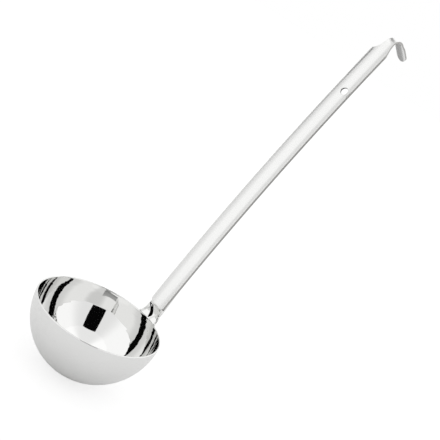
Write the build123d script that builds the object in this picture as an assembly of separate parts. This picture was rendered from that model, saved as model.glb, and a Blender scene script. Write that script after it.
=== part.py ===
from build123d import *
import math
import os

# Soup ladle of stainless sheet: a drawn bowl with a neck and tang, and a trough shaped handle with a hook.
# Millimetres. The rim lies level in the XY plane with its centre at the origin, +Z points up out of the bowl,
# and the handle rises over the +X side, leaning outwards. The part is the same on both sides of Y = 0.

# Bowl: a round dome under a short straight lip
rim_diameter = 100.0
bowl_depth = 51.0
lip_height = 1.0
bowl_sheet = 1.2
rim_break = 0.3

# Neck, from the rim to the foot of the handle, and the tang above it
neck_rise = 11.6
neck_reach = 4.45
neck_foot_width = 20.8
neck_top_width = 16.2
neck_section_shares = [0.0, 0.12, 0.28, 0.46, 0.64, 0.82, 1.0]
tang_length = 28.0
tang_tip_width = 11.0
tang_tip_round = 4.0

# Handle strip, with the curve of its trough and its lean from upright
handle_sheet = 1.5
handle_width = 15.5
trough_radius = 12.6
handle_length = 267.2
lean_at_foot = 14.45
lean_at_top = 22.35
foot_corner = 3.2

# Shoulder, which narrows the strip before the bend and on into it, and hook
shoulder_before_bend = 11.0
shoulder_past_bend = 3.7
root_width = 7.8
bend_radius = 7.7
bend_angle = 102.6
tongue_length = 17.3
tongue_width = 9.7
tongue_flare = 5.0

# Hanging hole, measured from its centre down from the start of the bend
hole_diameter = 6.0
hole_below_bend = 49.6

# Lap joint between the tang and the handle, with its spot welds up the middle
lap_gap = 0.1
weld_count = 3
weld_diameter = 4.0
weld_depth = 0.5
weld_above_foot = 7.0
weld_pitch = 7.5

# One overrun serves every cutter
overrun = 20.0

# Sizes that follow
rim_radius = rim_diameter / 2
wall_radius = rim_radius - bowl_sheet
dome_depth = bowl_depth - lip_height
dome_radius = (rim_radius ** 2 + dome_depth ** 2) / (2 * dome_depth)
dome_centre = dome_radius - bowl_depth
foot_half = neck_foot_width / 2
neck_half = neck_top_width / 2
tip_half = tang_tip_width / 2
tang_radius = trough_radius + handle_sheet + lap_gap
tang_back_half = neck_half * (tang_radius + bowl_sheet) / tang_radius
handle_half = handle_width / 2
back_half = handle_half * (trough_radius + handle_sheet) / trough_radius
root_half = root_width / 2
tongue_half = tongue_width / 2
lean_of_tongue = lean_at_top + bend_angle


# Directions in the plane of symmetry
def along(lean):
    """Unit vector up a strip that leans this many degrees from upright."""
    return Vector(math.sin(math.radians(lean)), 0, math.cos(math.radians(lean)))


def behind(lean):
    """Unit vector square to the strip, away from the bowl."""
    return Vector(math.cos(math.radians(lean)), 0, -math.sin(math.radians(lean)))


def across(point, lean):
    """Plane square to the strip: its x runs across the strip and its y points to the front."""
    return Plane(origin=point, x_dir=(0, 1, 0), z_dir=along(lean))


def facing(point, lean):
    """Plane laid on the strip: its x runs up the strip, its y across it, and its normal points behind it."""
    return Plane(origin=point, x_dir=along(lean), z_dir=behind(lean))


# Sections across a strip
def trough(plane, half_width, front_radius, sheet):
    """Section hollow to the front, with its edges square to the sheet."""
    back_radius = front_radius + sheet
    half_angle = math.asin(half_width / front_radius)

    def point(radius, angle):
        return (radius * math.sin(angle), front_radius - radius * math.cos(angle))

    front = ThreePointArc(point(front_radius, -half_angle), point(front_radius, 0), point(front_radius, half_angle))
    right = Line(point(front_radius, half_angle), point(back_radius, half_angle))
    back = ThreePointArc(point(back_radius, half_angle), point(back_radius, 0), point(back_radius, -half_angle))
    left = Line(point(back_radius, -half_angle), point(front_radius, -half_angle))
    return plane * make_face([front, right, back, left])


def trimmed_trough(plane, half_width, front_radius, sheet):
    """The same section with its sides cut straight back, as a blanking tool leaves them."""
    back_radius = front_radius + sheet
    front_rise = front_radius - math.sqrt(front_radius ** 2 - half_width ** 2)
    back_rise = front_radius - math.sqrt(back_radius ** 2 - half_width ** 2)
    front = ThreePointArc((-half_width, front_rise), (0, 0), (half_width, front_rise))
    right = Line((half_width, front_rise), (half_width, back_rise))
    back = ThreePointArc((half_width, back_rise), (0, -sheet), (-half_width, back_rise))
    left = Line((-half_width, back_rise), (-half_width, front_rise))
    return plane * make_face([front, right, back, left])


# The line of the neck: an arc in the plane of symmetry, from the inside of the rim to the top of the neck
neck_foot = Vector(wall_radius, 0, 0)
neck_top = Vector(wall_radius + neck_reach, 0, neck_rise)
lean_of_chord = math.degrees(math.atan2(neck_reach, neck_rise))
lean_at_rim = 2 * lean_of_chord - lean_at_foot
neck_turn = math.radians(lean_at_foot - lean_at_rim)
neck_radius = math.hypot(neck_reach, neck_rise) / (2 * math.sin(neck_turn / 2))


def neck_point(share):
    """Front of the neck, this share of the way up it."""
    start = math.radians(lean_at_rim)
    now = start + neck_turn * share
    outwards = neck_radius * (math.cos(start) - math.cos(now))
    upwards = neck_radius * (math.sin(now) - math.sin(start))
    return neck_foot + Vector(outwards, 0, upwards)


# The line of the handle: the floor of its trough, a long gentle bow that starts in front of the tang
handle_foot = neck_top - behind(lean_at_foot) * (handle_sheet + lap_gap)
bow_radius = handle_length / math.radians(lean_at_top - lean_at_foot)
bow_centre = handle_foot + behind(lean_at_foot) * bow_radius
bow_axis = Axis(bow_centre, (0, 1, 0))


def handle_lean(distance):
    """Lean of the handle, this far up it from its foot."""
    return lean_at_foot + math.degrees(distance / bow_radius)


def handle_point(distance):
    """Floor of the trough, this far up the handle from its foot."""
    return bow_centre - behind(handle_lean(distance)) * bow_radius


# The line of the hook: a bend about an axis behind the strip, then the straight tongue
bend_start = handle_point(handle_length)
bend_centre = bend_start + behind(lean_at_top) * bend_radius
bend_axis = Axis(bend_centre, (0, 1, 0))
bend_end = bend_centre - behind(lean_of_tongue) * bend_radius
shoulder_turn = math.degrees(math.asin(shoulder_past_bend / (bend_radius - handle_sheet)))
root_start = bend_centre - behind(lean_at_top + shoulder_turn) * bend_radius


# Blanking outlines, drawn on the strip with x up it from the plane's origin and y across it
def both_sides(outline):
    """An outline on one side of the strip, and the same on the other side."""
    one_side = make_face(outline)
    return one_side + mirror(one_side, about=Plane.XZ)


def tang_blank():
    """What is kept of the tang: a taper with a rounded tip."""
    outline = Polyline((-overrun, -tang_back_half), (-overrun, tang_back_half), (0, tang_back_half),
                       (tang_length, tip_half), (tang_length, -tip_half), (0, -tang_back_half),
                       (-overrun, -tang_back_half))
    blank = make_face(outline.edges())
    corners = blank.vertices().filter_by_position(Axis.X, tang_length, tang_length)
    return fillet(corners, tang_tip_round)


def foot_waste():
    """What is cut from the two corners at the foot of the handle."""
    centre_y = back_half - foot_corner
    corner = CenterArc((foot_corner, centre_y), foot_corner, 90, 90)
    rest = Polyline((0, centre_y), (-overrun, centre_y), (-overrun, back_half + overrun),
                    (foot_corner, back_half + overrun), (foot_corner, back_half))
    return both_sides([corner, *rest.edges()])


def shoulder_waste():
    """What is cut from both sides of the strip between its full width and the root of the hook."""
    flank = TangentArc((shoulder_past_bend, root_half), (-shoulder_before_bend, back_half), tangent=(-1, 0))
    far = back_half + overrun
    rest = Polyline((-shoulder_before_bend, back_half), (-shoulder_before_bend, far), (overrun, far),
                    (overrun, root_half), (shoulder_past_bend, root_half))
    return both_sides([flank, *rest.edges()])


def tongue_blank():
    """What is kept of the tongue: it flares from the root and ends in a half circle."""
    straight = tongue_length - tongue_half
    half_flare = tongue_flare / 2
    middle = (root_half + tongue_half) / 2
    hollow = TangentArc((0, root_half), (half_flare, middle), tangent=(1, 0))
    swell = TangentArc((half_flare, middle), (tongue_flare, tongue_half), tangent=hollow % 1)
    side = Line((tongue_flare, tongue_half), (straight, tongue_half))
    tip = ThreePointArc((straight, tongue_half), (tongue_length, 0), (straight, -tongue_half))
    upper = [hollow, swell, side]
    lower = [mirror(edge, about=Plane.XZ) for edge in upper]
    root = Line((0, -root_half), (0, root_half))
    return make_face([*upper, tip, *lower, root])


# Spot welds
def weld_seats():
    """A short cylinder at each weld, through the faces that it joins."""
    seats = []
    for index in range(weld_count):
        distance = weld_above_foot + index * weld_pitch
        lean = handle_lean(distance)
        start = handle_point(distance) + behind(lean) * (handle_sheet - weld_depth)
        disc = facing(start, lean) * Circle(weld_diameter / 2)
        seats.append(extrude(disc, amount=2 * weld_depth + lap_gap))
    return seats


# The pieces
def dome_arc(radius, lip_radius):
    """Arc of the bowl's profile, from the bottom up to where it meets a lip of this radius."""
    rise = math.copysign(math.sqrt(abs(radius ** 2 - lip_radius ** 2)), dome_depth - dome_radius)
    return CenterArc((0, dome_centre), radius, -90, 90 + math.degrees(math.atan2(rise, lip_radius)))


def build_bowl():
    """Drawn bowl with its neck and its tang, all one sheet."""
    outside = dome_arc(dome_radius, rim_radius)
    inside = dome_arc(dome_radius - bowl_sheet, wall_radius)
    rim = Polyline(outside @ 1, (rim_radius, -rim_break), (rim_radius - rim_break, 0),
                   (wall_radius + rim_break, 0), (wall_radius, -rim_break), inside @ 1)
    pole = Line(inside @ 0, outside @ 0)
    profile = make_face([outside, *rim.edges(), inside, pole])
    bowl = revolve(Plane.XZ * profile, Axis.Z, 360)

    # The edges of the rim are broken all round but for the heel, where the neck stands
    heel = trough(across(neck_foot - Vector(0, 0, rim_break), 0), foot_half, wall_radius, bowl_sheet)
    bowl += extrude(heel, amount=rim_break)

    # Neck sections turn from the wide curve of the rim to the close curve of the tang
    sections = []
    for share in neck_section_shares:
        left_to_go = 1 - share
        half_width = neck_half + (foot_half - neck_half) * left_to_go * math.sqrt(left_to_go)
        rim_part = left_to_go ** 2 * (1 + 2 * share)
        radius = 1 / (rim_part / wall_radius + (1 - rim_part) / tang_radius)
        sections.append(trough(across(neck_point(share), lean_at_foot * share), half_width, radius, bowl_sheet))
    bowl += loft(sections)

    # The tang follows the back of the handle
    tang_turn = math.degrees(tang_length / bow_radius)
    tang = revolve(trough(across(neck_top, lean_at_foot), neck_half, tang_radius, bowl_sheet), bow_axis, tang_turn)
    tang &= extrude(facing(neck_top, lean_at_foot) * tang_blank(), amount=overrun, both=True)
    bowl += tang
    for seat in weld_seats():
        bowl -= seat
    return bowl


def build_handle():
    """Pressed strip with its trough, foot, hanging hole, shoulder and hook."""
    full_section = trough(across(handle_foot, lean_at_foot), handle_half, trough_radius, handle_sheet)
    strip = revolve(full_section, bow_axis, lean_at_top - lean_at_foot)
    top_section = trough(across(bend_start, lean_at_top), handle_half, trough_radius, handle_sheet)
    strip += revolve(top_section, bend_axis, shoulder_turn)
    strip -= extrude(facing(handle_foot, lean_at_foot) * foot_waste(), amount=overrun, both=True)
    strip -= extrude(facing(bend_start, lean_at_top) * shoulder_waste(), amount=overrun, both=True)

    root_plane = across(root_start, lean_at_top + shoulder_turn)
    root_section = trimmed_trough(root_plane, root_half, trough_radius, handle_sheet)
    bend = revolve(root_section, bend_axis, bend_angle - shoulder_turn)

    broad_section = trimmed_trough(across(bend_end, lean_of_tongue), tongue_half + handle_sheet, trough_radius,
                                   handle_sheet)
    tongue = extrude(broad_section, amount=tongue_length)
    tongue &= extrude(facing(bend_end, lean_of_tongue) * tongue_blank(), amount=overrun, both=True)
    handle = strip + bend + tongue

    hole_distance = handle_length - hole_below_bend
    hole_plane = facing(handle_point(hole_distance), handle_lean(hole_distance))
    handle -= extrude(hole_plane * Circle(hole_diameter / 2), amount=overrun, both=True)
    for seat in weld_seats():
        handle -= seat
    return handle


def build_spot_welds():
    """Nuggets of fused metal, half in the handle and half in the tang."""
    return Compound(children=[Solid(seat.solid().wrapped) for seat in weld_seats()])


os.makedirs("parts", exist_ok=True)
pieces = {"bowl": build_bowl(), "handle": build_handle(), "spot_welds": build_spot_welds()}
for name, piece in pieces.items():
    export_step(piece, f"parts/{name}.step")
    print(name, round(piece.volume, 1), "mm3")
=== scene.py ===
# %% [markdown]
# # A stainless soup ladle
# This lesson dresses the plain model of a soup ladle: a drawn bowl with a neck, and a long pressed handle
# with a hook. Each form is worked out as whole arrays of points, so that the polished metal has a surface
# smooth enough to mirror the studio around it.

import bmesh
import bpy
import numpy as np
from mathutils import Matrix


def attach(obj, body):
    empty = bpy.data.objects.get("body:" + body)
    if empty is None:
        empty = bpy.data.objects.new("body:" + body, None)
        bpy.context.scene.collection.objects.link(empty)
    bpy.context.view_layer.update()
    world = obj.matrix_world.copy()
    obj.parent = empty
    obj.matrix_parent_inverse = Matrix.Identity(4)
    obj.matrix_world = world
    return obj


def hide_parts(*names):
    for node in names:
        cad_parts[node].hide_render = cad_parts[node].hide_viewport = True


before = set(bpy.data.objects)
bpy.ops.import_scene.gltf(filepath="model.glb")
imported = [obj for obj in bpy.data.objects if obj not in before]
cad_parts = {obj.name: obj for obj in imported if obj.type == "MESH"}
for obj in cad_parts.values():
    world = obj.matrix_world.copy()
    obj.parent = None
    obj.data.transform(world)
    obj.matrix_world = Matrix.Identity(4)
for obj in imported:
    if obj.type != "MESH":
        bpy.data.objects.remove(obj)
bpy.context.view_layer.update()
print("nodes:", sorted(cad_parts))

# %% [markdown]
# ## Sizes
# A drawing of sheet metal needs few numbers: where the sheet runs, how wide it is, how thick, and how its
# section is curved. They are written in millimetres, as a workshop would, and turned to metres once.

# %% Sizes of the ladle, in millimetres
MM = 0.001

RIM_RADIUS = 50.0
LIP = 1.0
BOWL_SHEET = 1.2
WALL_RADIUS = RIM_RADIUS - BOWL_SHEET

NECK_RISE = 11.6
NECK_REACH = 4.45
NECK_FOOT_HALF = 10.4
NECK_TOP_HALF = 8.1
NECK_STEP = 2.0
NECK_STEP_HEIGHT = 3.0
GROOVE_DEPTH = 2.4
GROOVE_WALL = 1.6
GROOVE_WALL_GROWTH = 1.5
GROOVE_FOOT_HALF = 1.0
GROOVE_TOP_HALF = 9.0
CURL_WIDTH = 2.0
CURL_SLOPE = 0.9
TANG_LENGTH = 28.0
TANG_TIP_HALF = 5.5
TANG_CORNER = 4.0

HANDLE_SHEET = 1.5
HANDLE_HALF = 7.75
TROUGH_RADIUS = 12.6
HANDLE_LENGTH = 267.2
LEAN_AT_FOOT = 14.45
LEAN_AT_TOP = 22.35
FOOT_CORNER = 4.4
FOOT_CORNER_ACROSS = 5.0
LAP_GAP = 0.1

SHOULDER_BEFORE = 11.0
SHOULDER_PAST = 3.7
ROOT_HALF = 3.9
BEND_RADIUS = 7.7
BEND_ANGLE = 102.6
TONGUE_LENGTH = 17.3
TONGUE_HALF = 4.85
TONGUE_FLARE = 5.0

HOLE_RADIUS = 3.0
HOLE_BELOW_BEND = 49.6
EDGE_ROUND = 0.3

BACK_HALF = HANDLE_HALF * (TROUGH_RADIUS + HANDLE_SHEET) / TROUGH_RADIUS
TANG_RADIUS = TROUGH_RADIUS + HANDLE_SHEET + LAP_GAP
BEND_LENGTH = np.radians(BEND_ANGLE) * BEND_RADIUS
HANDLE_END = HANDLE_LENGTH + BEND_LENGTH + TONGUE_LENGTH
HOLE_AT = HANDLE_LENGTH - HOLE_BELOW_BEND
print(f"the handle strip is {HANDLE_END:.1f} mm long when it is flat")

# %% [markdown]
# ## From arrays to a mesh
# Every piece here is one or more grids of points. Two small helpers are enough: one lists the four-sided
# faces between the rows and columns of a grid, and the other puts points and faces into a Blender mesh,
# welds the places where grids meet, and turns all faces outwards.


# %% Grid and mesh helpers
WELD_DISTANCE = 1e-6  # in metres, as Blender measures


def grid_faces(index, close_rows=False, close_columns=False):
    """Faces between neighbours of a grid of point numbers: each joins (row, column), (row, column + 1),
    (row + 1, column + 1) and (row + 1, column). Closing wraps the last row or column round to the first."""
    if close_rows:
        index = np.vstack([index, index[:1]])
    if close_columns:
        index = np.hstack([index, index[:, :1]])
    corners = (index[:-1, :-1], index[:-1, 1:], index[1:, 1:], index[1:, :-1])
    return np.stack(corners, axis=-1).reshape(-1, 4)


def add_piece(name, points, faces):
    """A mesh object from points in millimetres and faces, smooth shaded, welded and facing outwards."""
    mesh = bpy.data.meshes.new(name)
    mesh.from_pydata((points * MM).tolist(), [], faces.tolist())
    work = bmesh.new()
    work.from_mesh(mesh)
    bmesh.ops.remove_doubles(work, verts=work.verts, dist=WELD_DISTANCE)
    bmesh.ops.dissolve_degenerate(work, edges=work.edges, dist=WELD_DISTANCE)
    bmesh.ops.recalc_face_normals(work, faces=work.faces)
    work.to_mesh(mesh)
    work.free()
    mesh.shade_smooth()
    piece = bpy.data.objects.new(name, mesh)
    bpy.context.scene.collection.objects.link(piece)
    open_edges = open_edge_count(mesh)
    print(f"{name}: {len(mesh.vertices)} points, {len(mesh.polygons)} faces, {open_edges} open edges")
    return piece


def open_edge_count(mesh):
    """How many edges have only one face: none on a closed skin."""
    used = np.zeros(len(mesh.loops), int)
    mesh.loops.foreach_get("edge_index", used)
    return int((np.bincount(used, minlength=len(mesh.edges)) != 2).sum())


# %% [markdown]
# ## Along the metal
# Both the neck and the handle are strips that follow a line in the ladle's plane of symmetry. Seen from the
# side, each place on that line has a lean from upright. The direction behind the strip is square to it, and
# a point of the strip is found by stepping in front of the line by the depth of the trough.


# %% Lines in the plane of symmetry
def behind(lean):
    """Step square to a strip and away from the bowl: (cos lean, 0, -sin lean)."""
    angle = np.radians(lean)
    return np.stack([np.cos(angle), 0 * angle, -np.sin(angle)], axis=-1)


def along(lean):
    """Step up a strip: (sin lean, 0, cos lean)."""
    angle = np.radians(lean)
    return np.stack([np.sin(angle), 0 * angle, np.cos(angle)], axis=-1)


NECK_TOP = np.array([WALL_RADIUS + NECK_REACH, 0.0, NECK_RISE])
HANDLE_FOOT = NECK_TOP - behind(np.array(LEAN_AT_FOOT)) * (HANDLE_SHEET + LAP_GAP)
BOW_RADIUS = HANDLE_LENGTH / np.radians(LEAN_AT_TOP - LEAN_AT_FOOT)
BOW_CENTRE = HANDLE_FOOT + behind(np.array(LEAN_AT_FOOT)) * BOW_RADIUS
BEND_CENTRE = BOW_CENTRE - behind(np.array(LEAN_AT_TOP)) * (BOW_RADIUS - BEND_RADIUS)


def handle_line(distance):
    """Points and leans of the handle's floor line: a bow of large radius, a tight bend, and a straight tongue.
    On each arc the point is its centre less the radius times the direction behind."""
    distance = np.asarray(distance, float)
    bow_lean = LEAN_AT_FOOT + np.degrees(distance / BOW_RADIUS)
    turn = np.clip((distance - HANDLE_LENGTH) / BEND_LENGTH, 0, 1)
    bend_lean = LEAN_AT_TOP + BEND_ANGLE * turn
    on_bow = distance <= HANDLE_LENGTH
    lean = np.where(on_bow, bow_lean, bend_lean)
    centre = np.where(on_bow[..., None], BOW_CENTRE, BEND_CENTRE)
    radius = np.where(on_bow, BOW_RADIUS, BEND_RADIUS)
    past = np.clip(distance - HANDLE_LENGTH - BEND_LENGTH, 0, None)
    return centre - behind(lean) * radius[..., None] + along(lean) * past[..., None], lean


print("the hook's tip is at", np.round(handle_line(np.array([HANDLE_END]))[0][0], 1), "mm")

# %% [markdown]
# ## The section of a strip
# The handle is pressed into a shallow trough, which makes thin sheet stiff. Its front is an arc of a circle,
# its back is a larger arc about the same centre, and its two edges are rounded over a little, because a
# sharp sheared edge would cut the hand.


# %% Section helpers
NARROW_SHARE = 0.4  # where the strip is very narrow, an edge takes up this share of its half width


def trough_rise(side, front_radius, depth=0.0):
    """How far in front of the floor line a place at this side step lies, on the surface this deep in the sheet:
    front radius less the square root of (front radius + depth) squared less side squared."""
    return front_radius - np.sqrt((front_radius + depth) ** 2 - side ** 2)


def rounded_side(front_end, front_corner, back_corner, back_end, sheet, count=4):
    """Points round the edge of a sheet, from its front face to its back face. Over each corner they follow
    (1 - t)^2 start + 2 t (1 - t) corner + t^2 end."""
    edge = back_corner - front_corner
    step = edge / np.linalg.norm(edge, axis=-1, keepdims=True) * min(EDGE_ROUND, sheet / 3)
    t = np.linspace(0, 1, count + 2)[1:-1][None, :, None]

    def curve(start, corner, end):
        start, corner, end = start[:, None], corner[:, None], end[:, None]
        return (1 - t) ** 2 * start + 2 * t * (1 - t) * corner + t ** 2 * end

    return np.concatenate([curve(front_end, front_corner, front_corner + step), (front_corner + step)[:, None],
                           (back_corner - step)[:, None], curve(back_corner - step, back_corner, back_end)], axis=1)


def section_loops(front_half, back_half, columns):
    """Closed loops of (side, rise), one row per place along the handle: front face from left to right, a
    rounded edge, back face from right to left, and the other edge. Both half widths are arrays along it."""
    reach = np.minimum(EDGE_ROUND, NARROW_SHARE * np.maximum(front_half, 1e-4))
    share = np.linspace(-1, 1, columns)[None, :]

    def face(half, depth):
        side = share * (half - reach)[:, None]
        corner = np.stack([half, trough_rise(half, TROUGH_RADIUS, depth)], axis=-1)
        return np.stack([side, trough_rise(side, TROUGH_RADIUS, depth)], axis=-1), corner

    front, front_corner = face(front_half, 0.0)
    back, back_corner = face(back_half, HANDLE_SHEET)
    back = back[:, ::-1]
    right = rounded_side(front[:, -1], front_corner, back_corner, back[:, 0], HANDLE_SHEET)
    left = right[:, ::-1] * np.array([-1.0, 1.0])
    return np.concatenate([front, right, back, left], axis=1)


def place(line, lean, loops):
    """Points in space: the floor line, plus the side step along Y, less the rise times the direction behind."""
    points = line[:, None, :] - behind(lean)[:, None, :] * loops[..., 1:2]
    points[..., 1] += loops[..., 0]
    return points


def cap_faces(ring, columns):
    """Faces that close one end of a strip: each place on the front face is joined to the one across the
    sheet from it on the back face."""
    side = (len(ring) - 2 * columns) // 2
    front, back = ring[:columns], ring[columns + side:2 * columns + side][::-1]
    right = ring[columns - 1:columns + side + 1]
    left = np.concatenate([ring[2 * columns + side - 1:], ring[:1]])
    half = len(right) // 2
    pairs = [(front, back), (right[:half], right[::-1][:half]), (left[:half], left[::-1][:half])]
    return np.concatenate([grid_faces(np.stack(pair)) for pair in pairs])


# %% [markdown]
# ## The bowl
# The bowl is drawn from one disc of sheet: a dome under a short straight lip. It could be a turned profile
# with a Solidify modifier, but here inside, rim and outside are one closed skin, because a mirror shows
# every crease. Under the neck the rim stays square, so that the neck can stand on it.


# %% Build the bowl
SQUARE_RIM = 0.02  # rounding that is left under the neck, in millimetres


def bowl_profile(rim_round):
    """Radius and height from the inside pole, up the wall, over the rim and down to the outside pole.
    Inside and outside are quarter circles about a centre one lip below the rim; the rim is a half circle."""
    climb = np.linspace(0, np.pi / 2, 97)
    inside = np.stack([WALL_RADIUS * np.sin(climb), -LIP - WALL_RADIUS * np.cos(climb)], axis=-1)
    outside = np.stack([RIM_RADIUS * np.sin(climb), -LIP - RIM_RADIUS * np.cos(climb)], axis=-1)[::-1]
    over = np.linspace(0, np.pi / 2, 7)
    inner = np.stack([WALL_RADIUS + rim_round * (1 - np.cos(over)), rim_round * (np.sin(over) - 1)], axis=-1)
    outer = np.stack([RIM_RADIUS - rim_round * (1 - np.cos(over)), rim_round * (np.sin(over) - 1)], axis=-1)
    return np.concatenate([inside, inner, outer[::-1], outside])


def build_bowl():
    """The profile turned about Z: x = radius cos angle, y = radius sin angle. The rim is square over the
    angle where the neck stands, and round everywhere else."""
    neck_angle = np.arcsin(NECK_FOOT_HALF / WALL_RADIUS)
    under = np.linspace(-neck_angle, neck_angle, 25)
    beside = np.linspace(neck_angle, 2 * np.pi - neck_angle, 265)[1:-1]
    angle = np.concatenate([under, beside])
    profiles = np.stack([bowl_profile(SQUARE_RIM), bowl_profile(BOWL_SHEET / 2)])
    chosen = profiles[(np.arange(len(angle)) >= len(under)).astype(int)]
    radius, height = chosen[..., 0].T, chosen[..., 1].T
    points = np.stack([radius * np.cos(angle), radius * np.sin(angle), height], axis=-1)
    index = np.arange(points.shape[0] * points.shape[1]).reshape(points.shape[:2])
    return add_piece("bowl_skin", points.reshape(-1, 3), grid_faces(index, close_columns=True))


bowl = build_bowl()

# %% [markdown]
# ## The neck and the tang
# The neck is pressed out of the bowl's own sheet. Just above the rim it steps outwards, and a groove opens in
# it like a V until it fits the back of the handle. A mirror shows such a form by what it reflects, so the
# front is one formula, and the back is the same surface moved by the thickness of the sheet. Above the seam
# the sheet goes on as the tang, hidden behind the handle, where a thumb can feel its rounded tip.


# %% The front of the neck
# Gains and powers have no unit. The rest are widths, and heights above the rim, in millimetres.
NECK_POWER = 2.6
STEP_SIDE_GAIN, STEP_SIDE_REACH, STEP_SIDE_FADE = 0.9, 10.0, 3.0
GROOVE_POWER, GROOVE_DEEP_BY, GROOVE_WALL_BY = 1.8, 1.6, 4.0
CURL_SOFT, CURL_FULL_BY, CURL_FADE_FROM, CURL_FADE_OVER = 0.5, 0.8, 3.0, 7.0
TANG_FIT_FROM = 9.0


def smooth(t):
    """0 up to 0, 1 from 1, and 3 t^2 - 2 t^3 between."""
    t = np.clip(t, 0, 1)
    return t * t * (3 - 2 * t)


def neck_half(share):
    """Half the width of the neck, which falls from the rim up: top + (foot - top) (1 - share)^power."""
    return NECK_TOP_HALF + (NECK_FOOT_HALF - NECK_TOP_HALF) * (1 - share) ** NECK_POWER


def neck_front(side, share):
    """Points of the front of the neck. x is the rim's circle, plus a step that is quicker at the sides,
    step (1 - exp(-(z / height)^2)) (1 + gain (y / reach)^2 exp(-z / fade)), plus a groove with S-shaped walls
    whose half width grows as share^power, less the curl of the edges. Near the top it turns into the tang."""
    top_rise = trough_rise(side, TANG_RADIUS)
    top = NECK_TOP - behind(np.array(LEAN_AT_FOOT)) * top_rise[..., None]
    z = share * top[..., 2]
    step = NECK_STEP * (1 - np.exp(-(z / NECK_STEP_HEIGHT) ** 2))
    step = step * (1 + STEP_SIDE_GAIN * (side / STEP_SIDE_REACH) ** 2 * np.exp(-z / STEP_SIDE_FADE))
    groove_half = GROOVE_FOOT_HALF + (GROOVE_TOP_HALF - GROOVE_FOOT_HALF) * share ** GROOVE_POWER
    wall = GROOVE_WALL + GROOVE_WALL_GROWTH * smooth(z / GROOVE_WALL_BY)
    groove = GROOVE_DEPTH * np.tanh(z / GROOVE_DEEP_BY) * smooth((groove_half - abs(side)) / wall + 0.5)
    into_curl = np.clip(abs(side) - neck_half(share) + CURL_WIDTH, 0, None)
    curl = CURL_SLOPE * smooth(z / CURL_FULL_BY) * (1 - smooth((z - CURL_FADE_FROM) / CURL_FADE_OVER))
    curl = curl * (np.sqrt(into_curl ** 2 + CURL_SOFT ** 2) - CURL_SOFT)
    pressed = np.sqrt(WALL_RADIUS ** 2 - side ** 2) + step + groove - curl
    tang = top[..., 0] - (top[..., 2] - z) * np.tan(np.radians(LEAN_AT_FOOT))
    fit = smooth((z - TANG_FIT_FROM) / (NECK_RISE - TANG_FIT_FROM))
    return np.stack([pressed * (1 - fit) + tang * fit, side, z], axis=-1)


# %% [markdown]
# The rows of the front run up the neck and on along the tang. The back is found from the front's own normals,
# so that the sheet is equally thick everywhere, however it turns.

# %% Build the neck and tang
def build_neck():
    """Rows of the front up the neck and on along the tang; the back lies one sheet behind along the normals."""
    columns = 81
    share = np.linspace(0, 1, 73)
    straight = np.linspace(0, TANG_LENGTH - TANG_CORNER, 25)[1:]
    corner = TANG_LENGTH - TANG_CORNER * np.cos(np.linspace(0, np.pi / 2, 13))[::-1]
    rest = np.unique(np.concatenate([straight, corner]))
    taper = NECK_TOP_HALF + (TANG_TIP_HALF - NECK_TOP_HALF) * rest / TANG_LENGTH
    into = np.clip(rest - (TANG_LENGTH - TANG_CORNER), 0, TANG_CORNER)
    tang_half = taper - TANG_CORNER + np.sqrt(TANG_CORNER ** 2 - into ** 2)

    def sides(half):
        inner = np.linspace(-1, 1, columns) * (half - EDGE_ROUND)[:, None]
        return np.concatenate([-half[:, None], inner, half[:, None]], axis=1)

    neck_sides, tang_sides = sides(neck_half(share)), sides(tang_half)
    line, lean = handle_line(rest)
    line = line + behind(lean) * (HANDLE_SHEET + LAP_GAP)
    tang = place(line, lean, np.stack([tang_sides, trough_rise(tang_sides, TANG_RADIUS)], axis=-1))
    front = np.concatenate([neck_front(neck_sides, np.broadcast_to(share[:, None], neck_sides.shape)), tang])
    normal = np.cross(np.gradient(front, axis=1), np.gradient(front, axis=0))
    normal /= np.linalg.norm(normal, axis=-1, keepdims=True)
    back = front + BOWL_SHEET * normal * np.sign(normal[..., :1])

    right = rounded_side(front[:, -2], front[:, -1], back[:, -1], back[:, -2], BOWL_SHEET)
    left = rounded_side(front[:, 1], front[:, 0], back[:, 0], back[:, 1], BOWL_SHEET)[:, ::-1]
    points = np.concatenate([front[:, 1:-1], right, back[:, -2:0:-1], left], axis=1)
    index = np.arange(points.shape[0] * points.shape[1]).reshape(points.shape[:2])
    faces = [grid_faces(index, close_columns=True), cap_faces(index[0], columns), cap_faces(index[-1], columns)]
    return add_piece("neck_and_tang", points.reshape(-1, 3), np.concatenate(faces))


neck = build_neck()

# %% [markdown]
# ## The handle
# The handle is a strip too, with an outline that changes along it: rounded corners at the foot, a shoulder
# that narrows to the root of the hook, and a tongue that flares a little and ends in a half circle. Round
# the hanging hole the grid gives way to rings, so that the hole has a true round wall with broken edges.


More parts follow.
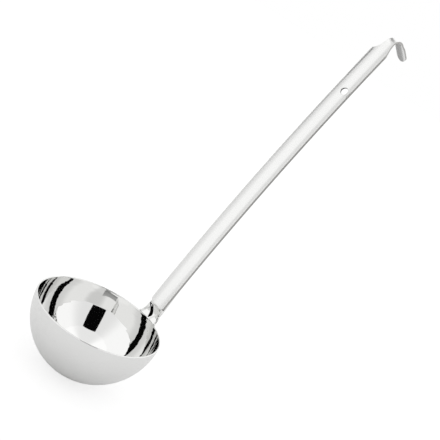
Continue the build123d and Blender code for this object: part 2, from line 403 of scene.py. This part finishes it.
# %% The outline of the handle
def cut_half(distance):
    """Half the width left by the blanking tool: a quarter ellipse at the foot's corners, an arc at the
    shoulder that ends along the strip, an S between root and tongue, and a half circle at the tip. Round the
    bend the shoulder follows x = radius sin(turn), as it is seen from in front."""
    x = np.where(distance <= HANDLE_LENGTH, distance - HANDLE_LENGTH,
                 BEND_RADIUS * np.sin(np.clip((distance - HANDLE_LENGTH) / BEND_RADIUS, 0, np.pi / 2)))
    up_corner = np.clip(1 - distance / FOOT_CORNER, 0, 1)
    foot = BACK_HALF - FOOT_CORNER_ACROSS * (1 - np.sqrt(1 - up_corner ** 2))
    run, drop = SHOULDER_BEFORE + SHOULDER_PAST, BACK_HALF - ROOT_HALF
    flank_radius = (run ** 2 + drop ** 2) / (2 * drop)
    to_go = np.clip(SHOULDER_PAST - x, 0, run)
    flank = ROOT_HALF + flank_radius - np.sqrt(flank_radius ** 2 - to_go ** 2)
    up_tongue = np.clip(distance - HANDLE_LENGTH - BEND_LENGTH, 0, TONGUE_LENGTH)
    flare = (TONGUE_HALF - ROOT_HALF) * smooth(up_tongue / TONGUE_FLARE)
    into_tip = np.clip(up_tongue - (TONGUE_LENGTH - TONGUE_HALF), 0, TONGUE_HALF)
    tip = TONGUE_HALF - np.sqrt(TONGUE_HALF ** 2 - into_tip ** 2)
    return np.minimum(foot, flank) + flare - tip


def handle_stations(hole_from, hole_to, hole_rows):
    """Places along the strip where it gets a section: close together where the outline or the line turns."""
    foot = FOOT_CORNER * (1 - np.cos(np.linspace(0, np.pi / 2, 9)))
    lower = np.linspace(FOOT_CORNER, hole_from, 60)
    by_hole = np.linspace(hole_from, hole_to, hole_rows)
    upper = np.linspace(hole_to, HANDLE_LENGTH - SHOULDER_BEFORE, 14)
    shoulder = np.linspace(HANDLE_LENGTH - SHOULDER_BEFORE, HANDLE_LENGTH, 16)
    bend = np.linspace(HANDLE_LENGTH, HANDLE_LENGTH + BEND_LENGTH, 33)
    tongue = np.linspace(HANDLE_LENGTH + BEND_LENGTH, HANDLE_END - TONGUE_HALF, 14)
    tip = HANDLE_END - TONGUE_HALF * (1 - np.sin(np.linspace(0, np.pi / 2, 15)))
    return np.unique(np.round(np.concatenate([foot, lower, by_hole, upper, shoulder, bend, tongue, tip]), 6))


# %% [markdown]
# The hole is made of rings. They start at the window that is left open in the front face, close in on the
# hole, turn over its broken edge, go through the sheet, and spread out to the window in the back face.

# %% Rings round the hanging hole
RING_POWER = 1.4  # draws the rings together towards the hole


def on_sheet(flat, depth):
    """Points of the handle from their (distance, side), this deep behind the front face."""
    spot, lean = handle_line(flat[:, 0])
    points = spot - behind(lean) * (trough_rise(flat[:, 1], TROUGH_RADIUS) - depth)[:, None]
    points[:, 1] += flat[:, 1]
    return points


def back_depth(flat):
    """How deep the back face lies: the rise of the front less the rise of the back."""
    return trough_rise(flat[:, 1], TROUGH_RADIUS) - trough_rise(flat[:, 1], TROUGH_RADIUS, HANDLE_SHEET)


def hole_rings(window, back_window):
    """Rings between two windows. A ring is circle (1 - t) + window t on the faces, and on the broken edges
    it has the radius r + e (1 - sin a) at the depth e (1 - cos a)."""
    centre = np.array([HOLE_AT, 0.0])
    outwards = window - centre
    outwards /= np.linalg.norm(outwards, axis=-1, keepdims=True)
    broken = HOLE_RADIUS + EDGE_ROUND
    circle = centre + outwards * broken
    rings = [on_sheet(circle * (1 - t) + window * t, 0.0) for t in np.linspace(1, 0, 9)[1:] ** RING_POWER]
    turn = np.linspace(0, np.pi / 2, 5)[1:]
    for a in turn:
        flat = centre + outwards * (broken - EDGE_ROUND * np.sin(a))
        rings.append(on_sheet(flat, EDGE_ROUND * (1 - np.cos(a))))
    for a in turn[::-1]:
        flat = centre + outwards * (broken - EDGE_ROUND * np.sin(a))
        rings.append(on_sheet(flat, back_depth(flat) - EDGE_ROUND * (1 - np.cos(a))))
    for t in np.linspace(0, 1, 9)[:-1] ** RING_POWER:
        flat = circle * (1 - t) + back_window * t
        rings.append(on_sheet(flat, back_depth(flat)))
    return np.stack(rings)


# %% [markdown]
# Now the handle is put together: loops along its line, a window left open in each face for the rings, and a
# cap at each end.

# %% Build the handle
def build_handle():
    """Loops carried along the handle's line, with the faces round the hole left out and made as rings."""
    columns, hole_rows, patch = 25, 19, 9.0
    station = handle_stations(HOLE_AT - patch, HOLE_AT + patch, hole_rows)
    cut = np.maximum(cut_half(station), 1e-3)
    front_half, back_half = np.minimum(HANDLE_HALF, cut), np.minimum(BACK_HALF, cut)
    loops = section_loops(front_half, back_half, columns)
    points = place(*handle_line(station), loops).reshape(-1, 3)
    index = np.arange(len(points)).reshape(loops.shape[:2])
    across = loops.shape[1]

    first = int(np.argmin(abs(station - (HOLE_AT - patch))))
    last = first + hole_rows - 1
    back_start = columns + (across - 2 * columns) // 2
    row, column = np.indices((len(station) - 1, across))
    on_front = column < columns - 1
    on_back = (column >= back_start) & (column < back_start + columns - 1)
    keep = ~((row >= first) & (row < last) & (on_front | on_back))
    strip = grid_faces(index, close_columns=True)[keep.ravel()]

    # The rim of the window in each face, once round, as point numbers and as (distance, side)
    rows, cols = np.arange(first, last), np.arange(columns - 1)
    window_row = np.concatenate([rows, np.full(len(cols), last), rows[::-1] + 1, np.full(len(cols), first)])
    window_col = np.concatenate([0 * rows, cols, 0 * rows + columns - 1, cols[::-1] + 1])
    window = np.stack([station[window_row], loops[window_row, window_col, 0]], axis=-1)
    wider = (back_half[first] - EDGE_ROUND) / (front_half[first] - EDGE_ROUND)
    rings = hole_rings(window, window * np.array([1.0, wider]))
    ring_index = len(points) + np.arange(len(rings) * len(window)).reshape(len(rings), -1)
    back_rim = index[window_row, back_start + columns - 1 - window_col]
    hole = grid_faces(np.vstack([index[window_row, window_col], ring_index, back_rim]), close_columns=True)

    points = np.concatenate([points, rings.reshape(-1, 3)])
    caps = [cap_faces(index[0], columns), cap_faces(index[-1], columns)]
    return add_piece("handle_strip", points, np.concatenate([strip, hole, *caps]))


handle = build_handle()

# %% [markdown]
# ## Colours
# Colours are written as the hex values that a picture editor shows. Blender's shaders work in linear light,
# so one function turns each pair of hex digits to linear.


# %% Colour and node helpers
def linear(code):
    """sRGB hex to linear RGBA: under 0.04045 divide by 12.92, above it ((c + 0.055) / 1.055) to the 2.4."""
    c = np.array([int(code[i:i + 2], 16) for i in (1, 3, 5)]) / 255
    c = np.where(c <= 0.04045, c / 12.92, ((c + 0.055) / 1.055) ** 2.4)
    return (*c, 1.0)


def node(tree, kind, settings=(), links=()):
    """Adds one node. Settings are (name, value): an input's name, or a property's where there is no such
    input. Links are (input, socket)."""
    made = tree.nodes.new(kind)
    for name, value in settings:
        if isinstance(name, int) or name in made.inputs:
            made.inputs[name].default_value = value
        else:
            setattr(made, name, value)
    for name, socket in links:
        tree.links.new(socket, made.inputs[name])
    return made


def new_material(name):
    """An empty node material and its tree, with only the output."""
    material = bpy.data.materials.new(name)
    material.use_nodes = True
    tree = material.node_tree
    tree.nodes.clear()
    return material, tree, node(tree, "ShaderNodeOutputMaterial")


# %% [markdown]
# ## Polished steel
# The inside of the bowl and the front of the neck are stainless steel, buffed to a mirror. To the eye it is a
# slightly warm mirror that loses about a fifth of the light at each bounce. Faint waves lie in rings round the
# bowl, such as buffing leaves on a bowl that turns.


# %% Polished stainless steel
WAVE_ACROSS, WAVE_UP = 22.0, 4.5  # millimetres


def polished_steel():
    """Metal with almost no roughness. Its waves are noise, long across the ladle and short up it, and so weak
    that only reflections show them."""
    material, tree, out = new_material("stainless steel, mirror buffed")
    place_in = node(tree, "ShaderNodeTexCoord")
    scale = (1 / (WAVE_ACROSS * MM), 1 / (WAVE_ACROSS * MM), 1 / (WAVE_UP * MM))
    rings = node(tree, "ShaderNodeMapping", [("Scale", scale)], [("Vector", place_in.outputs["Object"])])
    waves = node(tree, "ShaderNodeTexNoise", [("Scale", 1.0), ("Detail", 1.0)],
                 [("Vector", rings.outputs["Vector"])])
    bump = node(tree, "ShaderNodeBump", [("Strength", 0.45), ("Distance", 0.2 * MM)],
                [("Height", waves.outputs["Fac"])])
    metal = node(tree, "ShaderNodeBsdfPrincipled",
                 [("Base Color", linear("#E9E9E8")), ("Metallic", 1.0), ("Roughness", 0.03)],
                 [("Normal", bump.outputs["Normal"])])
    tree.links.new(metal.outputs["BSDF"], out.inputs["Surface"])
    return material


# %% [markdown]
# ## Satin steel
# The handle and the outside of the bowl are the same steel, finished with a fine fibre wheel. It scatters a
# reflection into a soft sheen, and the marks of the wheel can just be felt. Real marks are finer than a
# pixel here, so they are drawn a little coarser than they are.


# %% Satin stainless steel
ROUGHNESS_SPREAD = 0.03


def satin_steel(name, colour, roughness, grain_mm, stretch):
    """Metal with an even roughness that varies a little along fine marks. Grain is their width, and stretch
    says how many times longer than wide they are along each axis."""
    material, tree, out = new_material(name)
    place_in = node(tree, "ShaderNodeTexCoord")
    scale = tuple(1 / (grain_mm * MM * s) for s in stretch)
    marks_at = node(tree, "ShaderNodeMapping", [("Scale", scale)], [("Vector", place_in.outputs["Object"])])
    marks = node(tree, "ShaderNodeTexNoise", [("Scale", 1.0), ("Detail", 2.0)],
                 [("Vector", marks_at.outputs["Vector"])])
    spread = node(tree, "ShaderNodeMapRange",
                  [("From Min", 0.3), ("From Max", 0.7), ("To Min", roughness - ROUGHNESS_SPREAD),
                   ("To Max", roughness + ROUGHNESS_SPREAD)],
                  [("Value", marks.outputs["Fac"])])
    bump = node(tree, "ShaderNodeBump", [("Strength", 0.03), ("Distance", 0.04 * MM)],
                [("Height", marks.outputs["Fac"])])
    metal = node(tree, "ShaderNodeBsdfPrincipled", [("Base Color", linear(colour)), ("Metallic", 1.0)],
                 [("Roughness", spread.outputs["Result"]), ("Normal", bump.outputs["Normal"])])
    tree.links.new(metal.outputs["BSDF"], out.inputs["Surface"])
    return material


mirror_finish = polished_steel()
bowl_satin = satin_steel("stainless steel, satin spun", "#E6E6E5", 0.30, 0.5, (1, 1, 1))
# The sheared edges are rougher than the faces, which is real; their darker grey is painted shade, for the shadow
# the thin edges lie in.
sheared_and_shaded = satin_steel("stainless steel, sheared edge", "#A9A8A6", 0.42, 0.3, (1, 1, 1))
# The punched wall is rough as the punch tore it, and its dark grey is mostly painted shade inside the hole.
punched_and_shaded = satin_steel("stainless steel, punched wall", "#6A6967", 0.5, 0.3, (1, 1, 1))
handle_satin = satin_steel("stainless steel, satin ground lengthwise", "#E8E8E7", 0.22, 0.4, (1, 1, 20))

# %% [markdown]
# ## Dressing the pieces
# A face of the bowl is mirror bright where it looks in towards the bowl's middle and satin where it looks
# out. The neck is bright in front, and its back carries on the satin of the outside. The handle is satin. Its
# edges are duller where they were sheared, and their darker grey is painted shade; the wall of the hole is left
# as the punch tore it, and its dark grey is mostly painted shade inside the hole.


# %% Give the pieces their finishes
FACE_COSINE = 0.8   # a face this much square to the sheet or more belongs to its front or back
NECK_FRONT = 0.3    # a face of the neck that looks less than this along +X belongs to its front
HOLE_MARGIN = 0.7   # millimetres round the hole in which an edge face is part of its wall


def face_arrays(piece):
    """Centres in millimetres and outward directions of all faces of a piece."""
    count = len(piece.data.polygons)
    centres, normals = np.zeros(count * 3), np.zeros(count * 3)
    piece.data.polygons.foreach_get("center", centres)
    piece.data.polygons.foreach_get("normal", normals)
    return centres.reshape(-1, 3) / MM, normals.reshape(-1, 3)


def finish_faces(piece, finishes, chosen):
    """Puts the finishes on a piece, and gives each face the one whose number it has in chosen."""
    for finish in finishes:
        piece.data.materials.append(finish)
    piece.data.polygons.foreach_set("material_index", chosen.astype(np.int32))
    print(f"{piece.name}: faces of each finish {np.bincount(chosen).tolist()}")


def sheared_faces(centres, normals):
    """Faces whose direction lies mostly along the sheet. The sheet's own normal at side step y is
    -(behind) * sqrt(1 - (y / R)^2) - (Y) * y / R, with the lean taken from the centre of the arc."""

    def lean_about(centre):
        out = centres - centre
        return np.degrees(np.arctan2(out[:, 2], -out[:, 0])) % 360

    bow_lean = lean_about(BOW_CENTRE)
    bend_lean = np.clip(lean_about(BEND_CENTRE), LEAN_AT_TOP, LEAN_AT_TOP + BEND_ANGLE)
    lean = np.where(bow_lean < LEAN_AT_TOP, bow_lean, bend_lean)
    tilt = np.clip(centres[:, 1] / TROUGH_RADIUS, -1, 1)
    sheet = -behind(lean) * np.sqrt(1 - tilt ** 2)[:, None]
    sheet[:, 1] -= tilt
    return abs((sheet * normals).sum(axis=1)) < FACE_COSINE


centres, normals = face_arrays(bowl)
looks_in = ((np.array([0.0, 0.0, -LIP]) - centres) * normals).sum(axis=1) > 0
finish_faces(bowl, [mirror_finish, bowl_satin], np.where(looks_in | (centres[:, 2] > -BOWL_SHEET / 2), 0, 1))

centres, normals = face_arrays(neck)
finish_faces(neck, [mirror_finish, bowl_satin], np.where(normals[:, 0] < NECK_FRONT, 0, 1))

centres, normals = face_arrays(handle)
edges = sheared_faces(centres, normals)
hole_centre = handle_line(np.array([HOLE_AT]))[0][0]
in_hole = edges & (np.linalg.norm(centres - hole_centre, axis=1) < HOLE_RADIUS + HOLE_MARGIN)
# Edge faces take the sheared grey and the hole's wall the punched grey; both greys are darkened as painted shade.
finish_faces(handle, [sheared_and_shaded, handle_satin, punched_and_shaded], np.where(in_hole, 2, np.where(edges, 0, 1)))

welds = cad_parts["spot_welds"]
weld_metal = satin_steel("stainless steel, fused nugget", "#B9B8B5", 0.5, 0.3, (1, 1, 1))
welds.data.materials.clear()
welds.data.materials.append(weld_metal)

for piece in (bowl, neck, handle):
    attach(piece, "root")
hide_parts("bowl")
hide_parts("bowl")
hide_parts("handle")

# %% [markdown]
# ## The studio
# Polished metal has no look of its own: it shows the room. The ladle stands in a white light tent, on a white
# board. The tent is bright where the lamps shine on its cloth, and darker in two soft folds. It has an opening
# towards an unlit room, and a gap in its roof through which a grey ceiling shows. Only reflections see the
# tent and the cards. The floor and the camera see an even white world in their place.


# %% A tent of white cloth
def unit_vector(azimuth, elevation):
    """From degrees: (cos azimuth cos elevation, sin azimuth cos elevation, sin elevation)."""
    a, e = np.radians(azimuth), np.radians(elevation)
    return np.stack([np.cos(a) * np.cos(e), np.sin(a) * np.cos(e), np.sin(e)], axis=-1)


SEAM_HALF = 0.01  # half the width of the roof's seam, as a share of the tent's radius


def tent_cloth(level, folds, roof):
    """Glowing cloth. Each fold is (azimuth, inner half width, outer half width, share of light): a soft upright
    band round that azimuth where the cloth gives only that share of the level. The roof is (elevation, share),
    and starts at a seam."""
    material, tree, out = new_material("white tent cloth, lit from outside")
    coordinates = node(tree, "ShaderNodeTexCoord")
    level_part = node(tree, "ShaderNodeVectorMath", [("operation", "MULTIPLY"), (1, (1.0, 1.0, 0.0))],
                      [(0, coordinates.outputs["Object"])])
    heading = node(tree, "ShaderNodeVectorMath", [("operation", "NORMALIZE")], [(0, level_part.outputs[0])])
    towards = node(tree, "ShaderNodeVectorMath", [("operation", "NORMALIZE")], [(0, coordinates.outputs["Object"])])
    parts = node(tree, "ShaderNodeSeparateXYZ", (), [(0, towards.outputs[0])])
    seam = np.sin(np.radians(roof[0]))
    strength = node(tree, "ShaderNodeMapRange",
                    [("From Min", seam - SEAM_HALF), ("From Max", seam + SEAM_HALF), ("To Min", level),
                     ("To Max", level * roof[1])], [("Value", parts.outputs["Z"])])
    for azimuth, inner, outer, share in folds:
        middle = tuple(unit_vector(azimuth, 0))
        facing = node(tree, "ShaderNodeVectorMath", [("operation", "DOT_PRODUCT"), (1, middle)],
                      [(0, heading.outputs[0])])
        fold = node(tree, "ShaderNodeMapRange",
                    [("interpolation_type", "SMOOTHERSTEP"), ("From Min", np.cos(np.radians(outer))),
                     ("From Max", np.cos(np.radians(inner))), ("To Min", 1.0), ("To Max", share)],
                    [("Value", facing.outputs["Value"])])
        strength = node(tree, "ShaderNodeMath", [("operation", "MULTIPLY")],
                        [(0, strength.outputs[0]), (1, fold.outputs["Result"])])
    glow = node(tree, "ShaderNodeEmission", [("Color", linear("#FFFFFF"))], [("Strength", strength.outputs[0])])
    tree.links.new(glow.outputs[0], out.inputs["Surface"])
    return material


def stage_mesh(name, points, faces, material, mirrors_only=False):
    """A piece of the studio. One for mirrors only is seen in reflections and by no other ray, so it casts no
    light and no shadow on the floor."""
    mesh = bpy.data.meshes.new(name)
    mesh.from_pydata((np.asarray(points, float) * MM).tolist(), [], np.asarray(faces).tolist())
    sheet = bpy.data.objects.new(name, mesh)
    sheet.data.materials.append(material)
    bpy.context.scene.collection.objects.link(sheet)
    for kind in ("camera", "diffuse", "transmission", "volume_scatter", "shadow"):
        setattr(sheet, f"visible_{kind}", not mirrors_only)


TENT_RADIUS = 1600.0
dome = TENT_RADIUS * unit_vector(*np.meshgrid(np.arange(0, 360, 5), np.linspace(-6, 90, 20)))
dome_faces = grid_faces(np.arange(dome.shape[0] * dome.shape[1]).reshape(dome.shape[:2]), close_columns=True)
cloth = tent_cloth(1.14, [(-129, 16, 62, 0.80), (84, 4, 40, 0.76)], (53, 1.06))
stage_mesh("tent", dome.reshape(-1, 3), dome_faces, cloth, mirrors_only=True)

world = bpy.data.worlds.new("even_light")
world.use_nodes = True
world.node_tree.nodes.clear()
even = node(world.node_tree, "ShaderNodeBackground", [("Color", linear("#FFFFFF")), ("Strength", 1.0)])
node(world.node_tree, "ShaderNodeOutputWorld", (), [("Surface", even.outputs[0])])
bpy.context.scene.world = world

# %% [markdown]
# The floor is there for every ray, so that the bowl has a shadow. The opening, the gap in the roof and a grey
# card lying on the floor behind the ladle are cards, placed about where the steel in the photograph shows them.
# The grey card only makes the floor look darker in the steel there.


# %% Floor, opening, roof gap and table
def board_material(albedo, camera_albedo, camera_lift):
    """Matt white board. The camera sees it lifted towards the tent's white, with a fainter shadow."""
    material, tree, out = new_material("matt white board")
    rays = node(tree, "ShaderNodeLightPath")
    board = node(tree, "ShaderNodeBsdfDiffuse", [("Color", (albedo, albedo, albedo, 1.0))])
    paler = node(tree, "ShaderNodeBsdfDiffuse", [("Color", (camera_albedo, camera_albedo, camera_albedo, 1.0))])
    glow = node(tree, "ShaderNodeEmission", [("Color", linear("#FFFFFF")), ("Strength", camera_lift)])
    lifted = node(tree, "ShaderNodeAddShader", (), [(0, paler.outputs[0]), (1, glow.outputs[0])])
    seen = node(tree, "ShaderNodeMixShader", (),
                [("Fac", rays.outputs["Is Camera Ray"]), (1, board.outputs[0]), (2, lifted.outputs[0])])
    tree.links.new(seen.outputs[0], out.inputs["Surface"])
    return material


def card_material(name, tone):
    """An even tone, as a mirror sees it."""
    material, tree, out = new_material(name)
    plain = node(tree, "ShaderNodeEmission", [("Color", linear(tone)), ("Strength", 1.0)])
    tree.links.new(plain.outputs[0], out.inputs["Surface"])
    return material


def gap_material():
    """The grey ceiling seen through a gap in the roof: paler low down, where the tent lights it."""
    material, tree, out = new_material("grey ceiling")
    place_in = node(tree, "ShaderNodeTexCoord")
    parts = node(tree, "ShaderNodeSeparateXYZ", (), [(0, place_in.outputs["Object"])])
    tone = node(tree, "ShaderNodeMapRange", [("From Min", 1020 * MM), ("From Max", 1380 * MM), ("To Min", 0.60),
                                             ("To Max", 0.28)], [("Value", parts.outputs["Z"])])
    glow = node(tree, "ShaderNodeEmission", [("Color", linear("#FFFFFF"))], [("Strength", tone.outputs["Result"])])
    tree.links.new(glow.outputs[0], out.inputs["Surface"])
    return material


FLOOR_Z, FLOOR_HALF = -(RIM_RADIUS + LIP), 3000.0
floor_corners = [(-FLOOR_HALF, -FLOOR_HALF, FLOOR_Z), (FLOOR_HALF, -FLOOR_HALF, FLOOR_Z),
                 (FLOOR_HALF, FLOOR_HALF, FLOOR_Z), (-FLOOR_HALF, FLOOR_HALF, FLOOR_Z)]
stage_mesh("floor", floor_corners, [(0, 1, 2, 3)], board_material(0.9, 0.35, 0.72))

# Corners of the cards in millimetres, where the steel shows them
OPENING = 2 * np.array([(-338, -676, 136), (-602, -459, 134), (-387, -243, 618), (-146, -455, 602)], float)
ROOF_GAP = [(386, 1061, 1017), (1098, 174, 1037), (618, -22, 1389), (67, 639, 1378)]
# A grey card lying on the floor behind the ladle, seen only in reflections, where it makes the floor look darker.
GREY_FLOOR_CARD = [(190, 110, FLOOR_Z + 1), (620, 110, FLOOR_Z + 1), (620, 560, FLOOR_Z + 1), (190, 560, FLOOR_Z + 1)]
for name, corners, material in (("tent_opening", OPENING, card_material("unlit room", "#060606")),
                                ("roof_gap", ROOF_GAP, gap_material()),
                                ("grey_floor_card", GREY_FLOOR_CARD, card_material("grey floor card", "#A8A8A8"))):
    stage_mesh(name, corners, [(0, 1, 2, 3)], material, mirrors_only=True)

# %% [markdown]
# ## The camera
# The photograph was taken from in front and a little above, from about 70 cm away, with the camera turned a
# little on its side so that the long handle fits the frame from corner to corner.

# %% Place the camera
FOCAL_PIXELS, PICTURE_PIXELS = 950, 440
EYE = np.array([-462.44, -442.86, 296.71])
FORWARD = np.array([0.73532, 0.61593, -0.28272])
UP = np.array([-0.12987, 0.53750, 0.83320])
forward = FORWARD / np.linalg.norm(FORWARD)
right = np.cross(forward, UP)
right /= np.linalg.norm(right)
up = np.cross(right, forward)

lens = bpy.data.cameras.new("camera")
lens.sensor_width = 36.0
lens.lens = FOCAL_PIXELS / PICTURE_PIXELS * lens.sensor_width
half_pixel = 0.5 / PICTURE_PIXELS
lens.shift_x, lens.shift_y = -half_pixel, half_pixel
camera = bpy.data.objects.new("camera", lens)
turned = np.column_stack([right, up, -forward])
camera.matrix_world = Matrix.Translation((EYE * MM).tolist()) @ Matrix(turned.tolist()).to_4x4()
bpy.context.scene.collection.objects.link(camera)
bpy.context.scene.camera = camera
bpy.context.scene.view_settings.view_transform = "Standard"
print(f"lens {lens.lens:.1f} mm, {np.linalg.norm(EYE):.0f} mm from the bowl")
